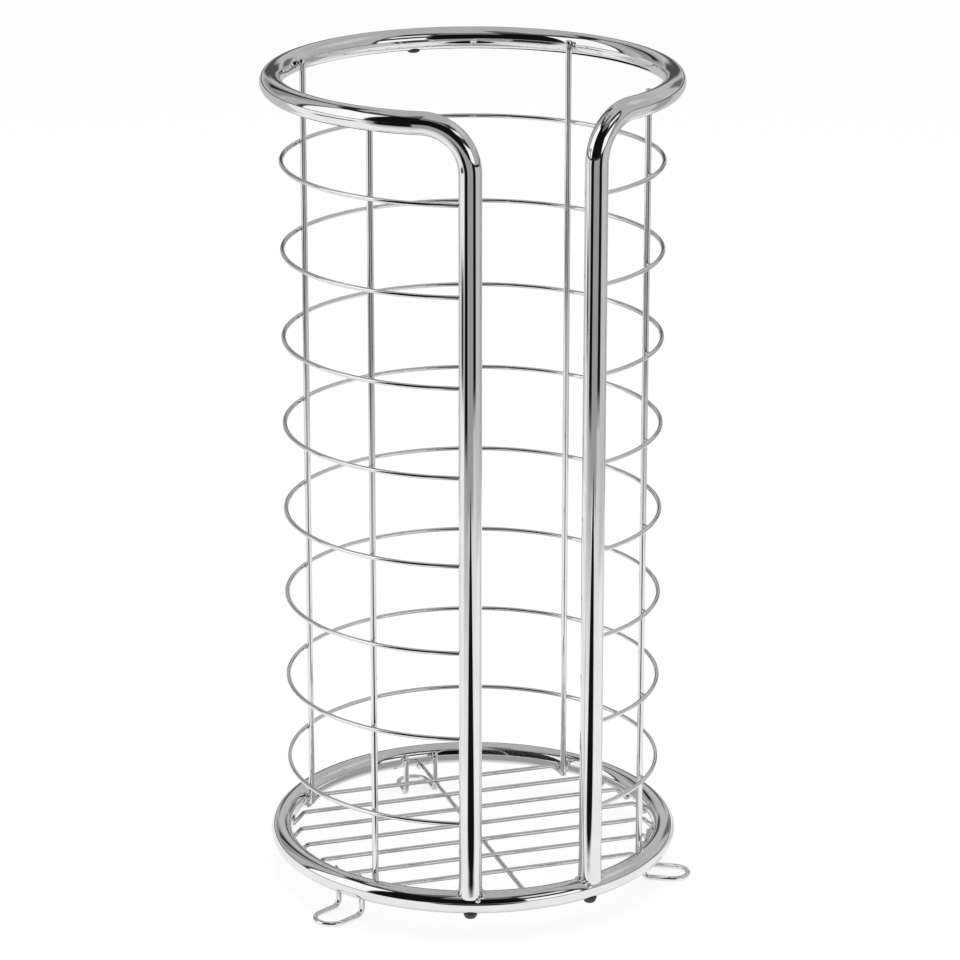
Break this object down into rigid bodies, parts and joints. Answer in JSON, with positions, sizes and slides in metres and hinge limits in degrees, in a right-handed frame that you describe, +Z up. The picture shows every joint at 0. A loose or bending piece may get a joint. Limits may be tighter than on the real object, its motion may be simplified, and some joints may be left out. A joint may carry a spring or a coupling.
{
  "type": "toilet roll storage holder",
  "caption": "Free-standing cage of chromed tube and wire that stores a stack of spare toilet rolls, loaded from the open top and taken out through the gap in its front.",
  "frame": {"origin": "floor level, on the axis of the two rings", "axes": "+Z up along that axis; the front gap faces -Y and +X is to the right of someone who faces it from outside"},
  "size_m": [0.186, 0.195, 0.3736],
  "materials": {
    "chromed_tube": "bright chrome plating on round steel tube",
    "chromed_wire": "bright chrome plating on drawn steel wire",
    "weld_bead": "chrome plating over a weld bead",
    "rubber_plug": "soft black rubber"
  },
  "bodies": {
    "root": {"top_rail": "chromed_tube", "base_ring": "chromed_tube", "side_wire_front_left": "chromed_wire", "side_wire_front_right": "chromed_wire", "side_wire_rear_left": "chromed_wire", "side_wire_rear_right": "chromed_wire", "hoop_1": "chromed_wire", "hoop_2": "chromed_wire", "hoop_3": "chromed_wire", "hoop_4": "chromed_wire", "hoop_5": "chromed_wire", "hoop_6": "chromed_wire", "hoop_7": "chromed_wire", "hoop_8": "chromed_wire", "floor_wire_1": "chromed_wire", "floor_wire_2": "chromed_wire", "floor_wire_3": "chromed_wire", "floor_wire_4": "chromed_wire", "floor_wire_5": "chromed_wire", "floor_wire_6": "chromed_wire", "floor_wire_7": "chromed_wire", "cross_wire": "chromed_wire", "foot_left": "chromed_wire", "foot_right": "chromed_wire", "foot_rear": "chromed_wire", "plug_left": "rubber_plug", "plug_right": "rubber_plug", "plug_rail": "rubber_plug", "upright_welds": "weld_bead"}
  },
  "joints": []
}
